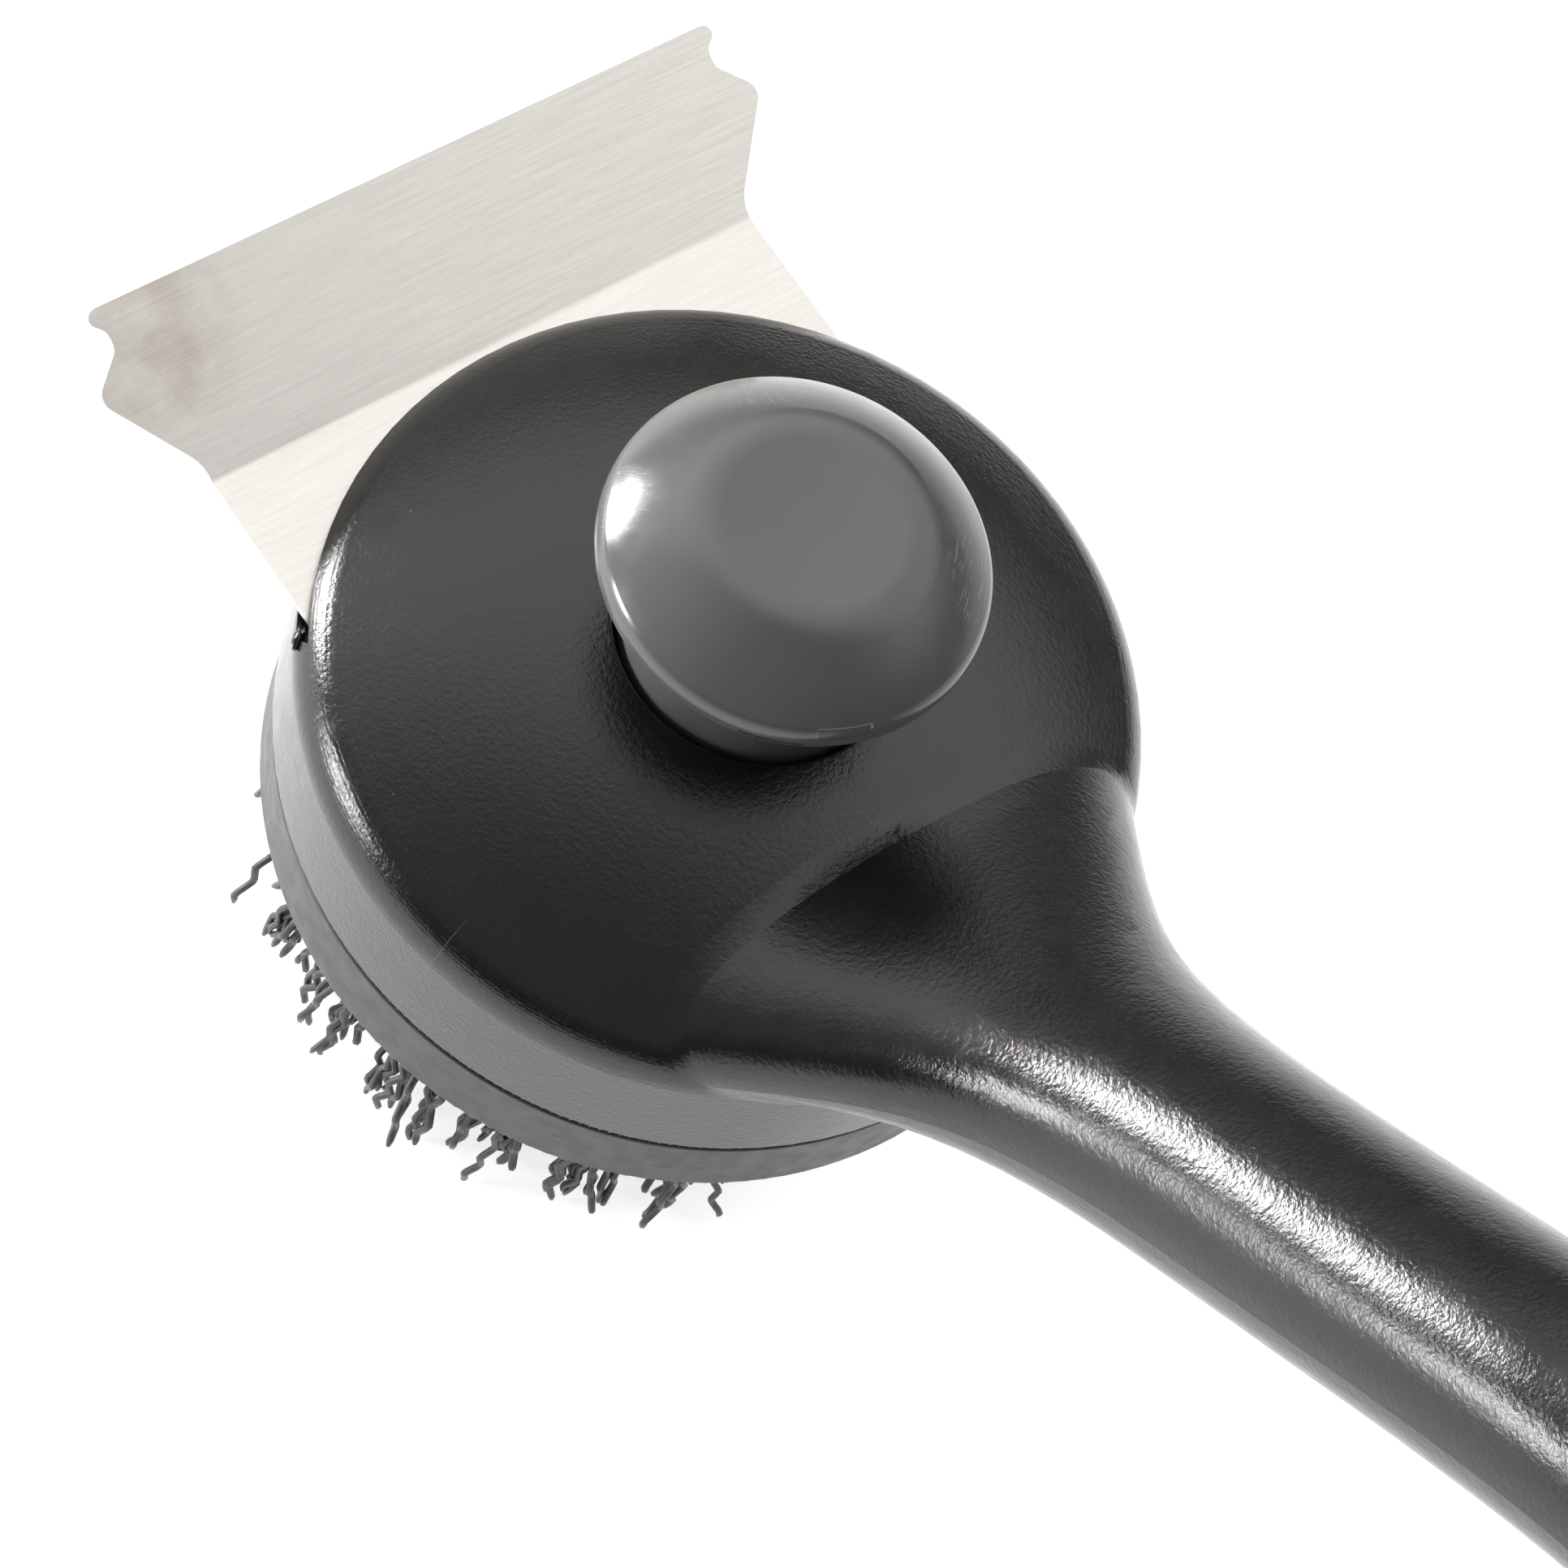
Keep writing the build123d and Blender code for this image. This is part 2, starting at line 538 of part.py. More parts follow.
def brush_block():
    seat_r = RING_OUTER_R + 0.15
    body = turned([
        (0, DISC_FACE_Z), (DISC_R - SKIN, DISC_FACE_Z), (DISC_R - SKIN, DISC_BOTTOM_Z),
        (DISC_R, DISC_BOTTOM_Z), (DISC_R, DISC_TOP_Z), (seat_r, DISC_TOP_Z), (seat_r, RING_SEAT_Z),
        (RING_INNER_R - 1, RING_SEAT_Z), (RING_INNER_R - 1, DISC_FLOOR_Z), (0, DISC_FLOOR_Z),
    ])
    rim = [e for e in body.edges().filter_by(GeomType.CIRCLE) if abs(e.radius - DISC_R) < 0.01]
    body = fillet([e for e in rim if e.center().Z < DISC_FACE_Z], DISC_LIP_R)
    rim = [e for e in body.edges().filter_by(GeomType.CIRCLE) if abs(e.radius - DISC_R) < 0.01]
    body = fillet([e for e in rim if e.center().Z > DISC_FLOOR_Z], DISC_EDGE_R)
    for radius, count in TUFT_RINGS:
        for at in tuft_places(radius, count):
            body -= rod(TUFT_HOLE_R, DISC_FACE_Z - 1, TUFT_HOLE_TOP_Z, at)
    for radius, azimuth in FLANGE_SCREWS:
        body -= rod(1.1, 28.3, DISC_FLOOR_Z + 1, polar(radius, azimuth))
    return body


def serrated_ring():
    """Ring on the disc: a toothed flange shows in the seam, detent notches face inwards."""
    teeth = []
    for index in range(SERRATIONS):
        start = 360 / SERRATIONS * index
        teeth.append(polar(TOOTH_R, start))
        teeth.append(polar(TOOTH_R - TOOTH_DEPTH, start + 300 / SERRATIONS))
    low, flange_z = RING_SEAT_Z + 0.05, DISC_TOP_Z + 0.05
    flange = Pos(0, 0, flange_z) * extrude(make_face(Polyline(*teeth, close=True)), FLANGE_T)
    ring = flange + rod(RING_OUTER_R, low, flange_z)
    ring -= rod(RING_INNER_R, low - 1, flange_z + 2)
    for at in tuft_places(NOTCH_CENTRE_R, NOTCHES):
        ring -= rod(NOTCH_R, low - 1, flange_z + 2, at)
    return ring


def tuft_staples():
    """Flat wire anchors at the bottoms of the tuft holes."""
    height = 2.2
    middle = TUFT_HOLE_TOP_Z - 0.1 - height / 2
    staples = []
    for radius, count in TUFT_RINGS:
        for x, y in tuft_places(radius, count):
            staples.append(Pos(x, y, middle) * Box(5.6, 0.4, height))
    return joined(staples)


def tufts(radius, count):
    """One ring of tufts: straight in their holes, spreading and leaning out below the disc."""
    lean = TUFT_LEAN * (radius / TUFT_RINGS[-1][0]) ** 3
    made = []
    for index in range(count):
        azimuth = 360 / count * index
        x, y = polar(radius, azimuth)
        tip_x, tip_y = polar(radius + lean, azimuth)
        root = Pos(x, y, DISC_FACE_Z) * Circle(TUFT_SET_R)
        tip = Pos(tip_x, tip_y, 0) * Circle(TUFT_TIP_R)
        made.append(loft([tip, root]) + rod(TUFT_SET_R, DISC_FACE_Z, TUFT_HOLE_TOP_Z - 2.4, (x, y)))
    return joined(made)


def main():
    os.makedirs("parts", exist_ok=True)
    outer = outside()
    inner = cup(SKIN, WALL_BOTTOM_Z - 1) + arm(SKIN)
    nodes = {
        "handle_shell": handle_shell(outer, inner),
        "handle_insert": handle_insert(outer, inner),
        "handle_insert_screws": joined(
            handle_frame(x) * Pos(0, 0, -10.05) * screw(3.1, 2.2, 1.4, 12.0) for x in INSERT_SCREWS_X
        ),
        "hanging_cap": hanging_cap(),
        "hanging_cap_screw": hanging_cap_screw(),
        "scraper_blade": scraper_blade(),
        "scraper_clamp_bar": scraper_clamp_bar(),
        "scraper_screws": scraper_screws(),
        "head_base_plate": head_base_plate(),
        "base_plate_screws": base_plate_screws(),
        "lower_bush": lower_bush(),
        "upper_bush": upper_bush(),
        "detent_spring": detent_spring(),
        "spindle": spindle(),
        "spindle_flange_screws": spindle_flange_screws(),
        "thrust_washer": thrust_washer(),
        "spring_washer": spring_washer(),
        "retaining_ring": retaining_ring(),
        "knob_cap": knob_cap(),
        "knob_collar": knob_collar(),
        "knob_washer": knob_washer(),
        "knob_nut": knob_nut(),
        "brush_block": brush_block(),
        "serrated_ring": serrated_ring(),
        "tuft_staples": tuft_staples(),
    }
    for number, (radius, count) in enumerate(TUFT_RINGS):
        nodes[f"bristles_ring_{number}"] = tufts(radius, count)
    for name, shape in nodes.items():
        export_step(shape, f"parts/{name}.step")
        print(name, len(shape.solids()), round(shape.volume, 1))


main()
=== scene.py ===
import math
import random

import bmesh
import bpy
import numpy as np
from mathutils import Matrix, Vector, noise

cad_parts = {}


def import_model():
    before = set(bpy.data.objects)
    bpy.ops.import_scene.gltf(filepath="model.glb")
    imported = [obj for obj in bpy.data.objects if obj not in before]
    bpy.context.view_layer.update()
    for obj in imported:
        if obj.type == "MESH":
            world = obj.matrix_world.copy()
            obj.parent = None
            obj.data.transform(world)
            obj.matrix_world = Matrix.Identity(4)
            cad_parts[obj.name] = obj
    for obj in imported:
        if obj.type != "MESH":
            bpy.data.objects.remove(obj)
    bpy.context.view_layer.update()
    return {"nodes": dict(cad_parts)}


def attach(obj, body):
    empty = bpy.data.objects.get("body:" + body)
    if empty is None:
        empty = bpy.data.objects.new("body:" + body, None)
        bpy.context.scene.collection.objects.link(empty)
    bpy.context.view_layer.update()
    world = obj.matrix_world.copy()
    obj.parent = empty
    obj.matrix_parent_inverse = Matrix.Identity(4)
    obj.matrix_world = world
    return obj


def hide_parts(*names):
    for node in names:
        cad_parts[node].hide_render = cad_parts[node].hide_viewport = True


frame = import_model()
NODES = frame["nodes"]

# All lengths are in metres, in the CAD part's own frame: +Z up, +X towards the handle, and the
# spindle on the Z axis.
MM = 0.001
FIXED = "handle_and_housing"
TURNING = "brush_and_knob"


def polar_point(radius, azimuth, height):
    """A point at a radius from the spindle's axis, an azimuth in degrees and a height."""
    a = math.radians(azimuth)
    return Vector((radius * math.cos(a), radius * math.sin(a), height))


def direction(azimuth, elevation):
    """The unit vector that points to an azimuth and an elevation, both in degrees."""
    a, e = math.radians(azimuth), math.radians(elevation)
    return Vector((math.cos(e) * math.cos(a), math.cos(e) * math.sin(a), math.sin(e)))


# ---- node helpers --------------------------------------------------------------------------------
class Material:
    """A node material round one Principled shader, with short calls for the nodes that shape it."""

    def __init__(self, name, colour, roughness, metallic=0.0, level=0.5):
        self.made = bpy.data.materials.new(name)
        self.made.use_nodes = True
        self.tree = self.made.node_tree
        self.shader = self.tree.nodes["Principled BSDF"]
        self.shader.inputs["Base Color"].default_value = (*colour, 1)
        self.shader.inputs["Roughness"].default_value = roughness
        self.shader.inputs["Metallic"].default_value = metallic
        self.shader.inputs["Specular IOR Level"].default_value = level
        self.place = self.node("ShaderNodeTexCoord").outputs["Object"]

    def node(self, kind, **settings):
        made = self.tree.nodes.new(kind)
        for key, value in settings.items():
            setattr(made, key, value)
        return made

    def put(self, socket, value):
        if isinstance(value, bpy.types.NodeSocket):
            self.tree.links.new(value, socket)
        elif isinstance(value, tuple) and len(value) == 3 and socket.type == "RGBA":
            socket.default_value = (*value, 1)
        else:
            socket.default_value = value

    def math(self, operation, a, b=0.0):
        made = self.node("ShaderNodeMath", operation=operation)
        self.put(made.inputs[0], a)
        self.put(made.inputs[1], b)
        return made.outputs[0]

    def split(self, vector):
        made = self.node("ShaderNodeSeparateXYZ")
        self.put(made.inputs[0], vector)
        return made.outputs[0], made.outputs[1], made.outputs[2]

    def radius(self):
        """Distance from the spindle's axis."""
        x, y, _ = self.split(self.place)
        flat = self.node("ShaderNodeCombineXYZ")
        self.put(flat.inputs[0], x)
        self.put(flat.inputs[1], y)
        made = self.node("ShaderNodeVectorMath", operation="LENGTH")
        self.put(made.inputs[0], flat.outputs[0])
        return made.outputs["Value"]

    def azimuth(self):
        x, y, _ = self.split(self.place)
        return self.math("ARCTAN2", y, x)

    def height(self):
        return self.split(self.place)[2]

    def away(self, value, centre):
        """How far a value is from a centre value."""
        return self.math("ABSOLUTE", self.math("SUBTRACT", value, centre))

    def stretched(self, scale, turn=(0.0, 0.0, 0.0)):
        """Object coordinates turned, then scaled by a factor on each axis."""
        made = self.node("ShaderNodeMapping", vector_type="TEXTURE")
        self.put(made.inputs["Vector"], self.place)
        made.inputs["Rotation"].default_value = turn
        made.inputs["Scale"].default_value = scale
        return made.outputs[0]

    def noise(self, size, detail=2.0, rough=0.5, at=None):
        """Noise whose features are about size metres across, from 0 to 1."""
        made = self.node("ShaderNodeTexNoise")
        self.put(made.inputs["Vector"], at or self.place)
        made.inputs["Scale"].default_value = 1 / size
        made.inputs["Detail"].default_value = detail
        made.inputs["Roughness"].default_value = rough
        return made.outputs[0]

    def ramp(self, value, low, high, out_low=0.0, out_high=1.0, smooth=True):
        made = self.node("ShaderNodeMapRange", interpolation_type="SMOOTHSTEP" if smooth else "LINEAR")
        for socket, given in zip(made.inputs, (value, low, high, out_low, out_high)):
            self.put(socket, given)
        return made.outputs[0]

    def mix(self, share, a, b):
        made = self.node("ShaderNodeMix", data_type="RGBA")
        self.put(made.inputs["Factor"], share)
        self.put(made.inputs["A"], a)
        self.put(made.inputs["B"], b)
        return made.outputs["Result"]

    def over(self, under, colour, mask, share):
        """A colour laid over another one through a mask, at a share of its strength."""
        return self.mix(self.math("MULTIPLY", mask, share), under, colour)

    def highest(self, masks):
        top = masks[0]
        for mask in masks[1:]:
            top = self.math("MAXIMUM", top, mask)
        return top

    def bump(self, height, depth, strength, on=None):
        """Bump of the given depth in metres, on top of another bump."""
        made = self.node("ShaderNodeBump")
        made.inputs["Distance"].default_value = depth
        made.inputs["Strength"].default_value = strength
        self.put(made.inputs["Height"], height)
        if on:
            self.put(made.inputs["Normal"], on)
        return made.outputs[0]

    def specks(self, cell, size, share):
        """Small round dots: 1 on a dot, on about the given share of the cells."""
        cells = self.node("ShaderNodeTexVoronoi", feature="F1")
        self.put(cells.inputs["Vector"], self.place)
        cells.inputs["Scale"].default_value = 1 / cell
        red = self.split(cells.outputs["Color"])[0]
        chosen = self.math("LESS_THAN", red, share)
        dot = self.ramp(cells.outputs["Distance"], size * 0.6 / cell, size / cell, 1.0, 0.0)
        return self.math("MULTIPLY", dot, chosen)

    def turned_lines(self):
        """Fine level lines from -1 to 1, as turning leaves them in a mould."""
        return self.math("SINE", self.math("MULTIPLY", self.height(), 2 * math.pi / LINE_PITCH))

    def near(self, centre, size):
        """1 at a point, falling to 0 at the given distance from it."""
        made = self.node("ShaderNodeVectorMath", operation="DISTANCE")
        self.put(made.inputs[0], self.place)
        made.inputs[1].default_value = centre
        return self.ramp(made.outputs["Value"], size * 0.4, size, 1.0, 0.0)

    def finish(self, colour=None, roughness=None, normal=None):
        for name, value in (("Base Color", colour), ("Roughness", roughness), ("Normal", normal)):
            if value is not None:
                self.put(self.shader.inputs[name], value)
        return self.made


# ---- materials -----------------------------------------------------------------------------------
LINE_PITCH = 0.42 * MM          # of the turned lines on the wall and the disc
FLOW_PLACE = (58 * MM, 17 * MM, 76 * MM)       # where the plastic's flow shows, on the neck
SCRATCH_Z = (36 * MM, 57 * MM)                 # ends of the long scratch on the wall
SCRATCH_AZIMUTH = (-79.2, -76.8)
# The knob's hair scratches: a place and a reach in mm, and the way they run in degrees.
KNOB_SCRATCHES = (
    ((-19.2, 6.5, 97.0), 6.5, 165),
    ((13.6, 16.8, 95.0), 9.0, 129),
    ((-15.6, -16.3, 95.0), 6.0, 28),
)
KNOB_MARK_AZIMUTH, KNOB_MARK_Z = -22, 93.1 * MM
# The scuffs on the disc's edge: azimuth and half width in degrees, and height in mm.
DISC_SCUFFS = ((-52.0, 1.7, 30.6), (-37.5, 2.3, 29.4), (-33.0, 1.0, 31.6))
SCUFF_HALF_HEIGHT = 0.9 * MM
STAIN_PLACE = (-73 * MM, -43 * MM, 66 * MM)    # on one end of the scraping edge


def shell_plastic():
    """Black moulded plastic with a leather grain, turned lines and a scratch on the wall, and dust."""
    m = Material("shell_plastic", (0.004, 0.0036, 0.0033), 0.24)
    x, _, z = m.split(m.place)
    radius = m.radius()
    on_wall = m.math("MULTIPLY", m.ramp(radius, 47.5 * MM, 50.5 * MM), m.ramp(radius, 55.6 * MM, 55.2 * MM))
    clear_of_neck = m.ramp(x, 36 * MM, 28 * MM)
    on_wall = m.math("MULTIPLY", on_wall, clear_of_neck)
    grain = m.noise(0.7 * MM, 4.0, 0.62)
    lines = m.math("MULTIPLY", m.turned_lines(), on_wall)
    flow = m.noise(1.0 * MM, 2.0, at=m.stretched((0.3, 9.0, 0.3), (0.0, 0.0, 0.5)))
    flow = m.math("MULTIPLY", flow, m.near(FLOW_PLACE, 12 * MM))
    # One long scratch stands almost upright on the wall, broken in places.
    start, end = (math.radians(a) for a in SCRATCH_AZIMUTH)
    off = m.away(m.azimuth(), m.ramp(z, *SCRATCH_Z, start, end, smooth=False))
    scratch = m.ramp(off, 0.0006, 0.0018, 1.0, 0.0)
    scratch = m.math("MULTIPLY", scratch, m.ramp(m.noise(5 * MM, 2.0), 0.35, 0.55))
    scratch = m.math("MULTIPLY", scratch, on_wall)
    normal = m.bump(grain, 0.11 * MM, 0.7)
    normal = m.bump(lines, 0.006 * MM, 0.6, on=normal)
    normal = m.bump(flow, 0.08 * MM, 0.6, on=normal)
    tone = m.mix(m.noise(9 * MM), (0.0034, 0.0031, 0.0028), (0.0052, 0.0047, 0.0042))
    tone = m.over(tone, (0.30, 0.29, 0.28), m.specks(2.2 * MM, 0.10 * MM, 0.04), 0.5)
    tone = m.over(tone, (0.10, 0.10, 0.10), scratch, 0.4)
    rough = m.ramp(m.noise(4 * MM, 3.0), 0.3, 0.7, 0.17, 0.22)
    return m.finish(tone, rough, normal)


def knob_plastic():
    """Grey moulded plastic, glossier, with three groups of hair scratches, a mould mark and dust."""
    m = Material("knob_plastic", (0.075, 0.073, 0.072), 0.27)
    groups = []
    for place, reach, way in KNOB_SCRATCHES:
        hair = m.noise(1.0 * MM, 2.0, at=m.stretched((0.10, 4.0, 2.0), (0, 0, math.radians(way - 90))))
        around = m.near(tuple(v * MM for v in place), reach * MM)
        groups.append(m.math("MULTIPLY", m.ramp(hair, 0.61, 0.68), around))
    scratches = m.highest(groups)
    # A plain shallow rectangle is moulded into the widest edge.
    across = m.away(m.azimuth(), math.radians(KNOB_MARK_AZIMUTH))
    up = m.away(m.height(), KNOB_MARK_Z)
    across = m.ramp(across, 0.135, 0.150, 1.0, 0.0)
    up = m.ramp(up, 0.55 * MM, 0.75 * MM, 1.0, 0.0)
    mark = m.math("MULTIPLY", across, up)
    normal = m.bump(m.noise(0.3 * MM, 2.0), 0.012 * MM, 0.35)
    normal = m.bump(scratches, 0.03 * MM, 0.5, on=normal)
    normal = m.bump(mark, 0.25 * MM, 0.8, on=normal)
    tone = m.mix(m.noise(11 * MM, 2.0), (0.072, 0.070, 0.068), (0.086, 0.084, 0.083))
    tone = m.over(tone, (0.36, 0.36, 0.36), scratches, 0.35)
    tone = m.over(tone, (0.4, 0.39, 0.38), m.specks(3.1 * MM, 0.09 * MM, 0.14), 0.5)
    rough = m.ramp(m.noise(3 * MM, 3.0), 0.3, 0.7, 0.17, 0.23)
    rough = m.math("ADD", rough, m.math("MULTIPLY", scratches, 0.15))
    return m.finish(tone, rough, normal)


def disc_plastic():
    """Dark grey plastic of the turning disc, with three short rubbed scuffs on its edge."""
    m = Material("disc_plastic", (0.03, 0.029, 0.029), 0.42, level=0.42)
    azimuth, z = m.azimuth(), m.height()
    ragged = m.noise(0.9 * MM, 3.0, 0.6)
    patches = []
    for centre, half_width, height in DISC_SCUFFS:
        across = m.ramp(m.away(azimuth, math.radians(centre)), 0.0, math.radians(half_width), 1.0, 0.0)
        up = m.ramp(m.away(z, height * MM), 0.0, SCUFF_HALF_HEIGHT, 1.0, 0.0)
        patches.append(m.ramp(m.math("MULTIPLY", m.math("MULTIPLY", across, up), ragged), 0.16, 0.30))
    scuffs = m.highest(patches)
    tone = m.mix(m.noise(8 * MM, 2.0), (0.018, 0.0175, 0.0175), (0.026, 0.025, 0.025))
    tone = m.mix(scuffs, tone, (0.008, 0.008, 0.008))
    tone = m.over(tone, (0.36, 0.35, 0.34), m.specks(2.4 * MM, 0.10 * MM, 0.16), 0.6)
    normal = m.bump(m.noise(0.4 * MM, 2.0), 0.02 * MM, 0.35)
    normal = m.bump(m.turned_lines(), 0.003 * MM, 0.4, on=normal)
    normal = m.bump(scuffs, 0.05 * MM, 0.5, on=normal)
    rough = m.ramp(m.noise(3 * MM, 3.0), 0.3, 0.7, 0.36, 0.46)
    return m.finish(tone, rough, normal)


def inner_plastic():
    """Plain black plastic of the plate inside the head."""
    m = Material("inner_plastic", (0.02, 0.02, 0.02), 0.5)
    tone = m.mix(m.noise(6 * MM), (0.016, 0.016, 0.016), (0.026, 0.026, 0.026))
    rough = m.ramp(m.noise(2 * MM), 0.3, 0.7, 0.45, 0.58)
    return m.finish(tone, rough, m.bump(m.noise(0.5 * MM), 0.02 * MM, 0.4))


def blade_steel():
    """Satin stainless sheet: rolling lines across the blade, hair scratches, a faint brown stain."""
    m = Material("blade_steel", (0.62, 0.60, 0.575), 0.36, metallic=1.0)
    rolled = m.noise(1.0 * MM, 3.0, 0.6, at=m.stretched((0.35, 12.0, 0.35)))
    hair = m.noise(1.0 * MM, 2.0, at=m.stretched((0.25, 5.0, 1.0), (0, 0, 0.35)))
    hair = m.ramp(hair, 0.68, 0.76)
    cloud = m.ramp(m.noise(7 * MM, 4.0, 0.6), 0.25, 0.65)
    stain = m.math("MULTIPLY", cloud, m.near(STAIN_PLACE, 16 * MM))
    tone = m.over((0.56, 0.55, 0.53), (0.44, 0.385, 0.33), stain, 0.55)
    tone = m.over(tone, (0.38, 0.37, 0.36), m.noise(0.7 * MM, 3.0), 0.25)
    rough = m.ramp(rolled, 0.3, 0.7, 0.30, 0.40)
    rough = m.math("ADD", rough, m.math("MULTIPLY", stain, 0.10))
    normal = m.bump(rolled, 0.006 * MM, 0.5)
    normal = m.bump(hair, 0.008 * MM, 0.4, on=normal)
    return m.finish(tone, rough, normal)


def metal(name, colour, roughness):
    """Plated or spring steel, a little uneven in tone and gloss."""
    m = Material(name, colour, roughness, metallic=1.0)
    dark = tuple(0.75 * c for c in colour)
    tone = m.mix(m.noise(1.5 * MM, 3.0), dark, colour)
    return m.finish(tone, m.ramp(m.noise(0.8 * MM), 0.3, 0.7, roughness - 0.06, roughness + 0.08))


def bush_plastic():
    """Pale, smooth bearing plastic."""
    m = Material("bush_plastic", (0.7, 0.68, 0.62), 0.4)
    tone = m.mix(m.noise(4 * MM), (0.66, 0.64, 0.58), (0.74, 0.72, 0.66))
    return m.finish(tone, None, m.bump(m.noise(0.4 * MM), 0.01 * MM, 0.3))


def bristle_nylon():
    """Slate nylon, patchy, with a painted glow that makes it paler and bluer towards the tips."""
    m = Material("bristle_nylon", (0.045, 0.048, 0.055), 0.38)
    # Painted light: the lowest 7 mm of the filaments turn paler and bluer, a painted glow for light shining
    # through the thin tips.
    wear_and_tip_glow = m.ramp(m.height(), 7 * MM, 0.0, 0.0, 0.55)
    tone = m.mix(m.noise(2.5 * MM, 3.0), (0.014, 0.0145, 0.017), (0.044, 0.046, 0.054))
    tone = m.over(tone, (0.20, 0.205, 0.23), wear_and_tip_glow, m.noise(1.2 * MM))
    rough = m.ramp(m.noise(1.1 * MM, 2.0), 0.3, 0.7, 0.30, 0.48)
    return m.finish(tone, rough, m.bump(m.noise(0.35 * MM, 2.0), 0.03 * MM, 0.4))


def serration_plastic():
    """The toothed flange in the seam, dark with paler worn patches."""
    m = Material("serration_plastic", (0.30, 0.27, 0.22), 0.5)
    patch = m.ramp(m.noise(9 * MM, 2.0), 0.45, 0.60)
    tone = m.mix(patch, (0.04, 0.036, 0.032), (0.26, 0.24, 0.20))
    return m.finish(tone, None, m.bump(m.noise(0.4 * MM), 0.02 * MM, 0.4))


MATERIALS = {
    "shell": shell_plastic(),
    "knob": knob_plastic(),
    "disc": disc_plastic(),
    "inner": inner_plastic(),
    "blade": blade_steel(),
    "zinc": metal("zinc_steel", (0.55, 0.55, 0.54), 0.32),
    "spring": metal("spring_steel", (0.40, 0.40, 0.42), 0.35),
    "bush": bush_plastic(),
    "bristle": bristle_nylon(),
    "serration": serration_plastic(),
}
# Each shown CAD node's look and material slot.
LOOKS = {
    "shell": ("black_plastic", ["handle_shell", "handle_insert"]),
    "knob": ("knob_plastic", ["knob_cap", "knob_collar", "hanging_cap"]),
    "disc": ("disc_plastic", ["brush_block"]),
    "serration": ("disc_plastic", ["serrated_ring"]),
    "inner": ("inner_plastic", ["head_base_plate"]),
    "blade": ("stainless_steel", ["scraper_blade"]),
    "zinc": ("zinc_steel", ["handle_insert_screws", "hanging_cap_screw", "scraper_clamp_bar",
                            "scraper_screws", "base_plate_screws", "spindle", "spindle_flange_screws",
                            "thrust_washer", "knob_washer", "knob_nut"]),
    "spring": ("spring_steel", ["detent_spring", "spring_washer", "retaining_ring", "tuft_staples"]),
    "bush": ("bush_plastic", ["lower_bush", "upper_bush"]),
}
for look, (slot, names) in LOOKS.items():
    for name in names:
        node = NODES[name]
        node.data.materials.clear()
        node.data.materials.append(MATERIALS[look])


# ---- crimped bristles ----------------------------------------------------------------------------
FACE_Z = 26.8 * MM             # face of the disc that the tufts stand on
SET_DEPTH = 1.6 * MM           # how far the filaments go up into their holes
SET_R = 2.45 * MM              # spread of the filaments at the holes
FILAMENT_R = 0.54 * MM
SIDES = 6                      # of a filament's tube
STATIONS = 36                  # along a filament
CRIMP_PITCH = 6.0 * MM
CRIMP_SIZE = 0.46 * MM
LOWEST_Z = 0.6 * FILAMENT_R    # no filament's middle line goes lower
END_WIDTHS = (0.95, 0.55)      # a filament narrows at its ends to these shares of its width
GOLDEN_ANGLE = 2.39996         # spreads a tuft's filaments evenly
OUTER_R = 46.0 * MM
# Radius in mm, tufts, filaments in a tuft.
TUFT_RINGS = [(0.0, 1, 14), (11.5, 6, 14), (23.0, 12, 14), (34.5, 18, 13), (46.0, 24, 12)]
# How far a tuft's tips spread, outwards and round the disc.
SPLAY_OUT, SPLAY_ALONG = 3.1 * MM, 5.4 * MM
# The tufts lean out on the worn side, and are pressed in on the short side. Azimuths in degrees.
WORN_WAY, SHORT_WAY = -74, 20
WORN_LEAN, MEAN_LEAN, PRESSED_LEAN = 3.8 * MM, -1.5 * MM, -5.0 * MM
draw = random.Random(7)


def crimp(phase):
    """A zigzag with rounded corners, from -1 to 1."""
    return np.sin(phase) - np.sin(3 * phase) / 9


def filament(root, tip, bow, turn, phase, size, pitch):
    """Stations along one crimped filament from its root to its tip."""
    share = np.linspace(0, 1, STATIONS)[:, None]
    root, tip, bow = np.array(root), np.array(tip), np.array(bow)
    line = root + (tip - root) * share + bow * (share * (1 - share) * 4)
    length = float(np.linalg.norm(tip - root))
    along = (tip - root) / length
    side = np.cross(along, (math.cos(turn), math.sin(turn), 0.0))
    side /= np.linalg.norm(side)
    waves = crimp(phase + 2 * math.pi * share * length / pitch)
    grown = np.clip(share * 6, 0, 1)
    return line + side * waves * size * grown


def tube_of(points, radius):
    """Vertices and faces of a round tube along the points, with rounded ends."""
    ahead = np.gradient(points, axis=0)
    ahead /= np.linalg.norm(ahead, axis=1)[:, None]
    across = np.cross(ahead, np.array([0.31, 0.95, 0.02]))
    across /= np.linalg.norm(across, axis=1)[:, None]
    up = np.cross(ahead, across)
    count = len(points)
    width = np.full(count, radius)
    width[0] *= END_WIDTHS[-1]
    width[-2:] *= END_WIDTHS
    turns = np.linspace(0, 2 * math.pi, SIDES, endpoint=False)
    ring = np.cos(turns)[None, :, None] * across[:, None] + np.sin(turns)[None, :, None] * up[:, None]
    verts = points[:, None] + ring * width[:, None, None]
    verts = verts.reshape(-1, 3)
    faces = []
    for k in range(count - 1):
        for i in range(SIDES):
            j = (i + 1) % SIDES
            faces.append((k * SIDES + i, k * SIDES + j, (k + 1) * SIDES + j, (k + 1) * SIDES + i))
    faces.append(tuple(reversed(range(SIDES))))
    faces.append(tuple((count - 1) * SIDES + i for i in range(SIDES)))
    return verts, faces


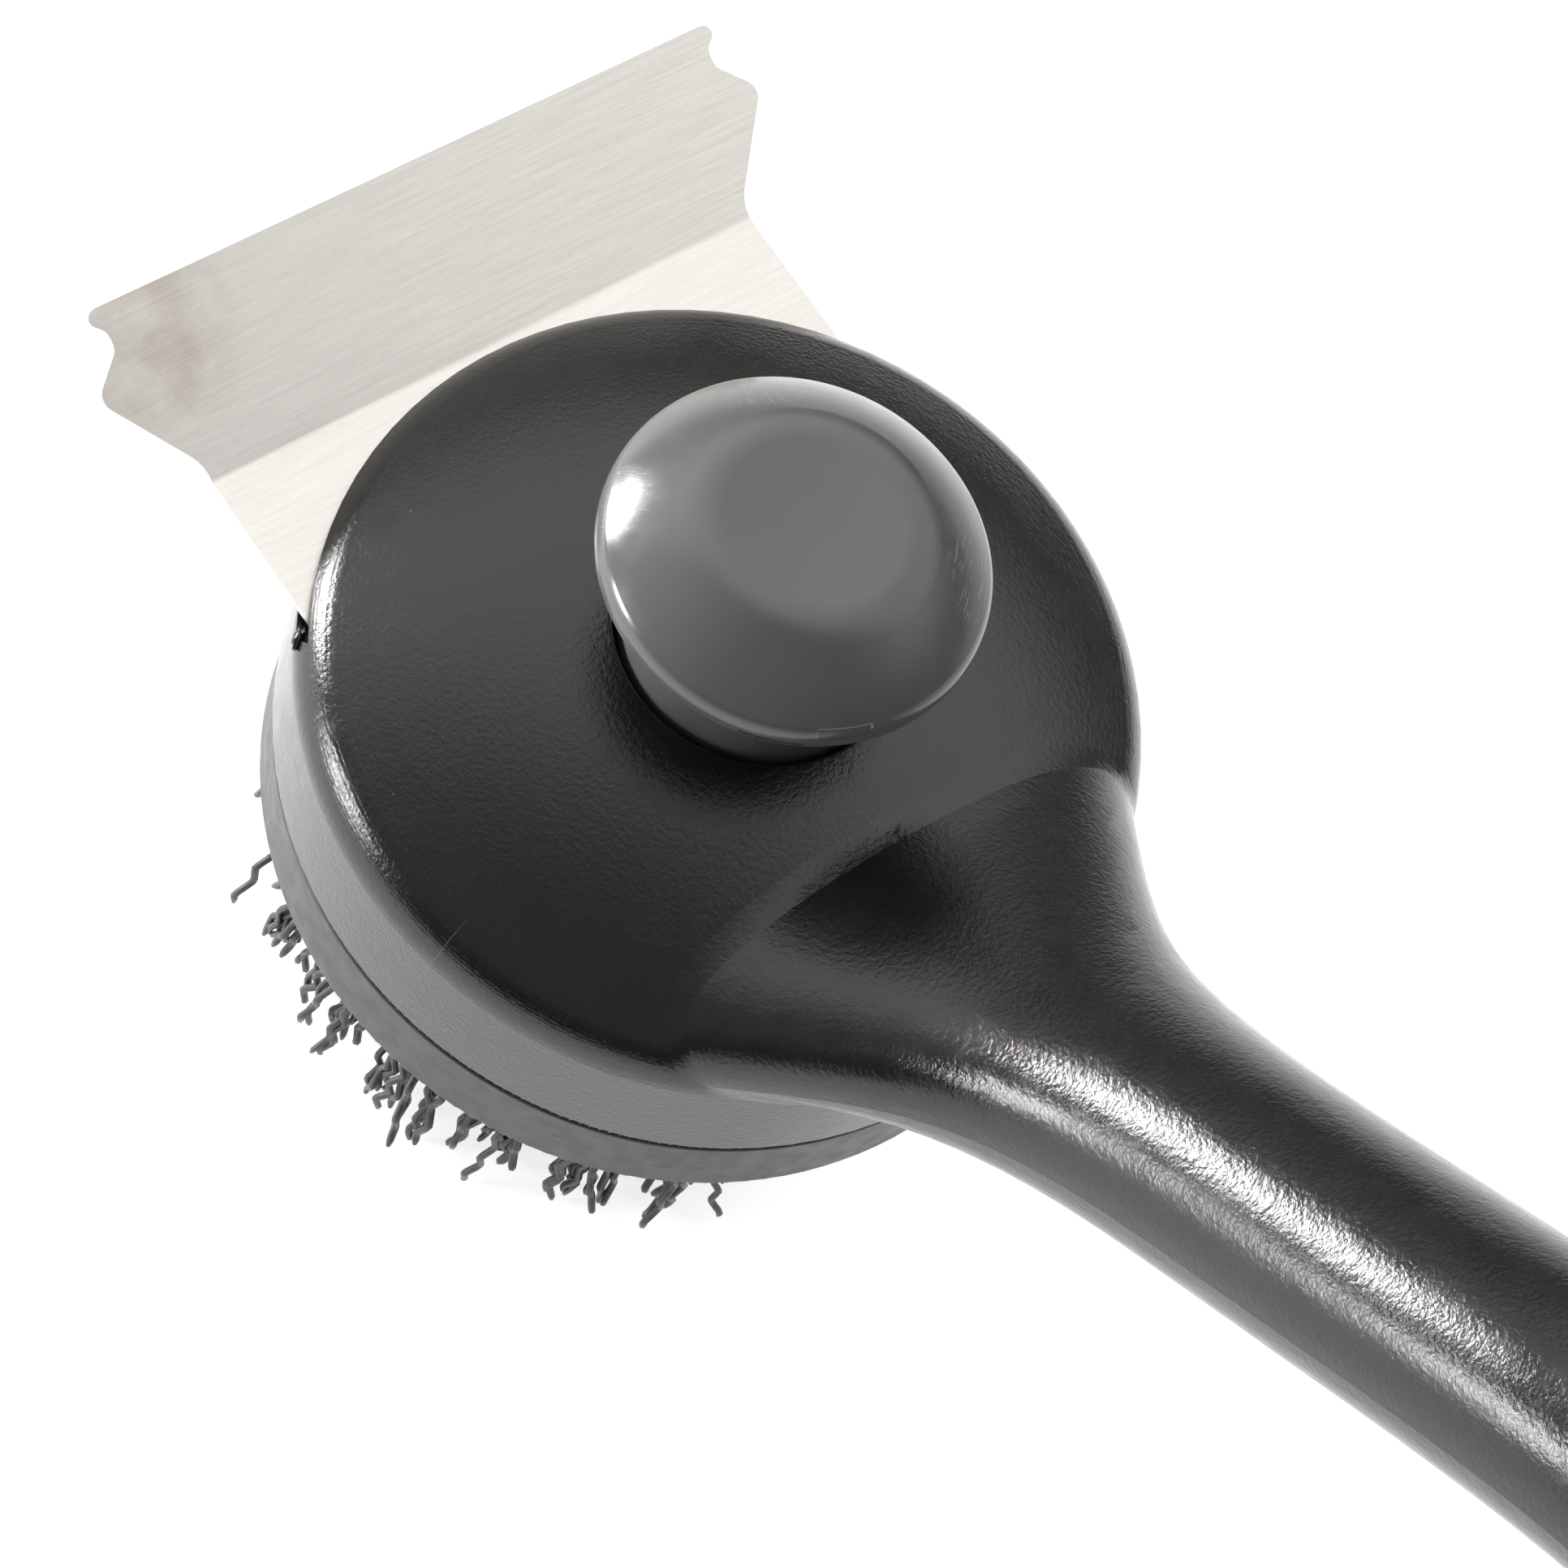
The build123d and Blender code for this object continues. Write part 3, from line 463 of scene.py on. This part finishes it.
def tuft(radius, azimuth, filaments):
    """One tuft's filaments, unevenly splayed, with more strays where the brush is worn."""
    made = []
    out = Vector((math.cos(azimuth), math.sin(azimuth), 0))
    along = Vector((-out.y, out.x, 0))
    facing = math.cos(azimuth - math.radians(WORN_WAY))
    wear_and_tip_glow = max(0.0, facing) ** 2
    pressed = max(0.0, math.cos(azimuth - math.radians(SHORT_WAY))) ** 4
    lean = (WORN_LEAN * facing + MEAN_LEAN + PRESSED_LEAN * pressed) * (radius / OUTER_R) ** 3
    tip_centre = out * (radius + lean) + Vector((draw.gauss(0, 0.5 * MM), draw.gauss(0, 0.5 * MM), 0))
    for index in range(filaments):
        spread = math.sqrt((index + 0.5) / filaments)
        angle = index * GOLDEN_ANGLE + draw.uniform(-0.3, 0.3)
        root = out * (radius + math.cos(angle) * spread * SET_R) + along * math.sin(angle) * spread * SET_R
        root.z = FACE_Z + SET_DEPTH
        reach = math.cos(angle) * spread * SPLAY_OUT + draw.gauss(0, 0.5 * MM)
        if draw.random() < 0.5 * wear_and_tip_glow:
            reach += draw.uniform(0.5, 4.0) * MM
        tip = tip_centre + out * reach
        tip += along * (math.sin(angle) * spread * SPLAY_ALONG + draw.gauss(0, 1.1 * MM))
        tip.z = abs(draw.gauss(0, 1.5 * MM)) + 0.3 * MM
        bow = out * draw.gauss(0.2 * MM, 0.6 * MM) + along * draw.gauss(0, 0.6 * MM)
        made.append(filament(
            root, tip, bow, draw.uniform(0, 2 * math.pi), draw.uniform(0, 2 * math.pi),
            CRIMP_SIZE * draw.uniform(0.75, 1.3), CRIMP_PITCH * draw.uniform(0.88, 1.12),
        ))
    return made


def stray():
    """One filament bent well out past the disc's edge."""
    root = polar_point(46.5 * MM, -119, FACE_Z + SET_DEPTH)
    tip = polar_point(55.4 * MM, -114, 0.8 * MM)
    straight = Vector((0, 0, 0))
    return filament(root, tip, straight, math.radians(-20), 0.6, CRIMP_SIZE * 1.2, CRIMP_PITCH * 1.1)


def mesh_piece(name, verts, faces, material, body):
    """A smooth mesh object that rides a body and takes a material slot."""
    mesh = bpy.data.meshes.new(name)
    mesh.from_pydata([tuple(v) for v in verts], [], faces)
    mesh.materials.append(material)
    mesh.shade_smooth()
    made = bpy.data.objects.new(name, mesh)
    bpy.context.scene.collection.objects.link(made)
    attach(made, body)
    return made


def bristle_rings():
    """Each ring of tufts is one piece, which stands for the CAD's plain tufts of that ring."""
    for number, (radius, tufts, filaments) in enumerate(TUFT_RINGS):
        verts, faces, base = [], [], 0
        paths = [stray()] if number == len(TUFT_RINGS) - 1 else []
        for index in range(tufts):
            paths += tuft(radius * MM, 2 * math.pi * index / tufts, filaments)
        for points in paths:
            points[:, 2] = np.maximum(points[:, 2], LOWEST_Z)
            new, quads = tube_of(points, FILAMENT_R * draw.uniform(0.92, 1.08))
            verts.append(new)
            faces.extend(tuple(base + i for i in face) for face in quads)
            base += len(new)
        piece = mesh_piece(f"crimped_bristles_{number}", np.concatenate(verts), faces,
                           MATERIALS["bristle"], TURNING)
        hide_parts(f"bristles_ring_{number}")


# ---- burr at the scraper's slot ------------------------------------------------------------------
BURR_HALF_SIZE = Vector((1.5, 0.7, 0.8)) * MM
BURR_PLACE = polar_point(54.6 * MM, -125.6, 56.6 * MM)
BURR_TURN = math.radians(-52)


def slot_burr():
    """A ragged bit of flash left at the end of the scraper's slot."""
    made = bmesh.new()
    bmesh.ops.create_icosphere(made, subdivisions=3, radius=1.0)
    for vertex in made.verts:
        rough = 1 + 0.5 * noise.noise(vertex.co * 2.6) + 0.25 * noise.noise(vertex.co * 7.0)
        vertex.co = Vector(c * s * rough for c, s in zip(vertex.co, BURR_HALF_SIZE))
    bmesh.ops.rotate(made, verts=made.verts, cent=(0, 0, 0), matrix=Matrix.Rotation(BURR_TURN, 3, "Z"))
    bmesh.ops.translate(made, verts=made.verts, vec=BURR_PLACE)
    made.verts.index_update()
    verts = [v.co.copy() for v in made.verts]
    faces = [tuple(v.index for v in f.verts) for f in made.faces]
    made.free()
    mesh_piece("slot_burr", verts, faces, MATERIALS["shell"], FIXED)


# ---- floor, lights and camera --------------------------------------------------------------------
FLOOR_HALF = 6.0
FLOOR_CENTRE = (0.045, 0.0, 0.0)
FLOOR_GLOW = 0.73                    # painted light: the middle of the sheet glows as if lit from below, as a product table is
LIT_R, UNLIT_R = 0.20, 0.60          # the glow fades from the one radius to the other
WALL_R, WALL_HEIGHT, WALL_SIDES = 5.9, 6.0, 96
WALL_GLOW = 0.85
AIM = Vector((0.04, 0, 0.06))        # the light panels face this point
PANEL_DISTANCE = 1.1
FAR_SIDE = direction(124, 0)         # the bright half of the room
NEAR_GLOW, FAR_GLOW = 0.34, 1.66     # brightness behind the camera, and across from it
SIDE_FADE = (-0.36, 0.34)            # from the one to the other, along FAR_SIDE
RISE = (0.10, 0.62)                  # the sky brightens between these heights, as sines of elevation
RISE_GAIN = 1.1
HORIZON = 0.04                       # a dim band stands round the table
SKY_COLOUR = (1.0, 0.98, 0.955, 1)
WHITE = (1, 1, 1, 1)


def stage_piece(name, verts, faces, material):
    mesh = bpy.data.meshes.new(name)
    mesh.from_pydata(verts, [], faces)
    mesh.materials.append(material)
    made = bpy.data.objects.new(name, mesh)
    bpy.context.scene.collection.objects.link(made)
    return made


def floor():
    """A pale sheet with a painted glow, a pool of light, in its middle."""
    m = Material("floor", (0.9, 0.9, 0.9), 0.9, level=0.1)
    tone = m.mix(m.noise(0.5), (0.895, 0.895, 0.895), (0.905, 0.905, 0.905))
    # Painted light: the sheet's emission is a pool of light that fades from LIT_R to UNLIT_R.
    lit = m.ramp(m.radius(), LIT_R, UNLIT_R, 1.0, 0.0)
    m.shader.inputs["Emission Color"].default_value = WHITE
    m.put(m.shader.inputs["Emission Strength"], m.math("MULTIPLY", lit, FLOOR_GLOW))
    corners = [(FLOOR_HALF * x, FLOOR_HALF * y, 0) for x, y in ((-1, -1), (1, -1), (1, 1), (-1, 1))]
    made = stage_piece("floor", corners, [(0, 1, 2, 3)], m.finish(tone))
    made.location = FLOOR_CENTRE


def backdrop():
    """A pale wall round the floor, for the low views. Only the camera sees it, so it lights nothing."""
    m = Material("backdrop", (0.03, 0.03, 0.03), 0.9, level=0.1)
    m.shader.inputs["Emission Color"].default_value = WHITE
    m.shader.inputs["Emission Strength"].default_value = WALL_GLOW
    tone = m.mix(m.noise(0.5), (0.028, 0.028, 0.028), (0.032, 0.032, 0.032))
    verts = []
    for side in range(WALL_SIDES):
        azimuth = 360 * side / WALL_SIDES
        verts.append(polar_point(WALL_R, azimuth, 0.0))
        verts.append(polar_point(WALL_R, azimuth, WALL_HEIGHT))
    count = len(verts)
    faces = [(i, i + 1, (i + 3) % count, (i + 2) % count) for i in range(0, count, 2)]
    made = stage_piece("backdrop", verts, faces, m.finish(tone))
    made.visible_diffuse = False
    made.visible_glossy = False
    made.visible_transmission = False
    made.visible_shadow = False


def panel(name, azimuth, elevation, width, height, power):
    """A soft light that the camera doesn't see, at an azimuth and an elevation from AIM."""
    light = bpy.data.lights.new(name, "AREA")
    light.shape = "RECTANGLE"
    light.size, light.size_y = width, height
    light.energy = power
    made = bpy.data.objects.new(name, light)
    made.location = AIM + direction(azimuth, elevation) * PANEL_DISTANCE
    made.rotation_mode = "QUATERNION"
    made.rotation_quaternion = (AIM - made.location).to_track_quat("-Z", "Y")
    made.visible_camera = False
    bpy.context.scene.collection.objects.link(made)


def lights():
    """Two low panels make the long highlights, one on the handle and one on the rim."""
    panel("handle_strip", 199, 8.5, 0.32, 0.11, 21)
    panel("rim_strip", 236, 7, 0.26, 0.10, 7)


def world():
    """A broad soft light across from the camera, dim behind it and near the horizon."""
    made = bpy.data.worlds.new("studio")
    bpy.context.scene.world = made
    made.use_nodes = True
    nodes, links = made.node_tree.nodes, made.node_tree.links
    where = nodes.new("ShaderNodeTexCoord").outputs["Generated"]

    def along(axis, low, high, out_low, out_high):
        """A smooth step from one value to another as the direction turns towards an axis."""
        towards = nodes.new("ShaderNodeVectorMath")
        towards.operation = "DOT_PRODUCT"
        towards.inputs[1].default_value = axis
        fade = nodes.new("ShaderNodeMapRange")
        fade.interpolation_type = "SMOOTHSTEP"
        for socket, value in zip(list(fade.inputs)[1:5], (low, high, out_low, out_high)):
            socket.default_value = value
        links.new(where, towards.inputs[0])
        links.new(towards.outputs["Value"], fade.inputs[0])
        return fade.outputs[0]

    both = nodes.new("ShaderNodeMath")
    both.operation = "MULTIPLY_ADD"
    links.new(along(FAR_SIDE, *SIDE_FADE, NEAR_GLOW, FAR_GLOW), both.inputs[0])
    links.new(along((0, 0, 1), *RISE, 0.0, RISE_GAIN), both.inputs[1])
    both.inputs[2].default_value = HORIZON
    background = nodes["Background"]
    background.inputs["Color"].default_value = SKY_COLOUR
    links.new(both.outputs[0], background.inputs["Strength"])


def camera():
    """Looks down on the head from one side, turned about its own axis."""
    azimuth, elevation, roll = -62.04, 60.95, math.radians(29.66)
    distance, pan_x, pan_y, target_z = 0.6276, 0.01178, -0.00396, 0.037
    back = direction(azimuth, elevation)
    level = Vector((0, 0, 1)).cross(back).normalized()
    upright = back.cross(level)
    right = level * math.cos(roll) + upright * math.sin(roll)
    up = upright * math.cos(roll) - level * math.sin(roll)
    data = bpy.data.cameras.new("camera")
    data.lens = 111.144
    data.sensor_width = 36
    data.clip_start, data.clip_end = 0.02, 50
    made = bpy.data.objects.new("camera", data)
    turned = Matrix((right, up, back)).transposed().to_4x4()
    place = right * pan_x + up * pan_y + back * distance + Vector((0, 0, target_z))
    made.matrix_world = Matrix.Translation(place) @ turned
    bpy.context.scene.collection.objects.link(made)
    bpy.context.scene.camera = made


bristle_rings()
slot_burr()
floor()
backdrop()
world()
lights()
camera()
bpy.context.scene.view_settings.view_transform = "Standard"
